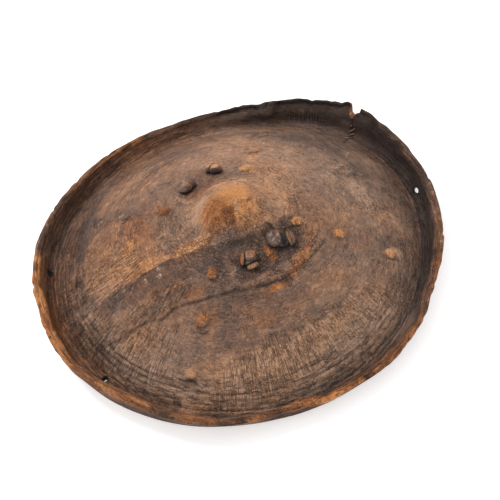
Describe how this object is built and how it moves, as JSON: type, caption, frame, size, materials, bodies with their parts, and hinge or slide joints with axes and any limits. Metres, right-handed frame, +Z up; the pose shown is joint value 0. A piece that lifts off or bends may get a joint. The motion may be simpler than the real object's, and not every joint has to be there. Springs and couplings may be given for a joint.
{
  "type": "hide shield",
  "caption": "Round shield of thick moulded hide with a central boss, small raised bumps, knotted grip straps and an upturned rim.",
  "frame": {"origin": "middle of the shield's outline, on the plane that it rests on", "axes": "+Z up out of the face, through the boss; the two grip straps run along Y; X is across them"},
  "size_m": [0.5144, 0.4888, 0.1093],
  "materials": {
    "hide": "dry worn hide",
    "strap_leather": "worn hide, dark",
    "thong_leather": "dark hide thong"
  },
  "bodies": {
    "root": {"moulded_hide": "hide", "grip_strap_left": "strap_leather", "grip_strap_right": "strap_leather", "repair_thong": "thong_leather"}
  },
  "joints": []
}
